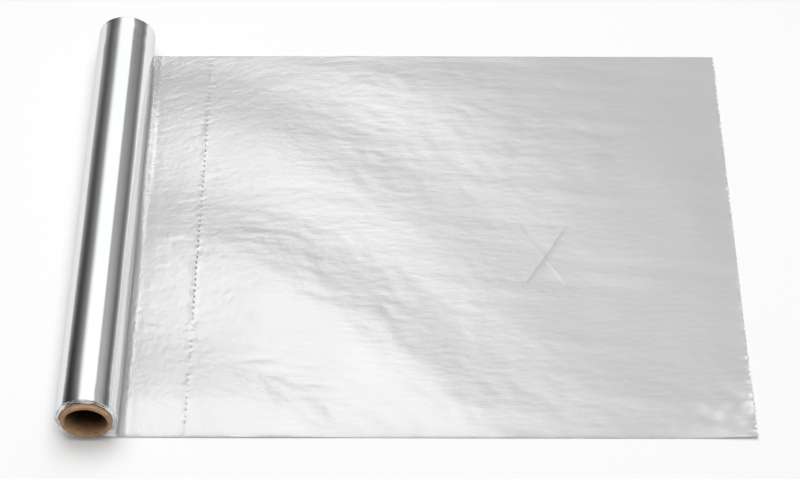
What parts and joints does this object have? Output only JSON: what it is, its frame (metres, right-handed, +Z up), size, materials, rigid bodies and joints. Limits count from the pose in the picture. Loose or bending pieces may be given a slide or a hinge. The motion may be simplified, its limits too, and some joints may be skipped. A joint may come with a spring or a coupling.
{
  "type": "aluminium grill liner roll",
  "caption": "Roll of perforated aluminium foil grill liner on a cardboard core, lying on its side with one torn-off length of web drawn out flat from under it.",
  "frame": {"origin": "middle of the overall box in plan, at the height of the surface that the roll and its drawn sheet lie on", "axes": "+X is the way the sheet is drawn off the roll, Y runs along the roll's core, +Z is up"},
  "size_m": [0.403, 0.311, 0.037],
  "materials": {
    "kraft_board": "matte kraft paperboard, spirally wound",
    "rolled_foil": "rolled foil, bright on one side and satin on the other"
  },
  "bodies": {
    "root": {"cardboard_core": "kraft_board", "foil": "rolled_foil"}
  },
  "joints": []
}
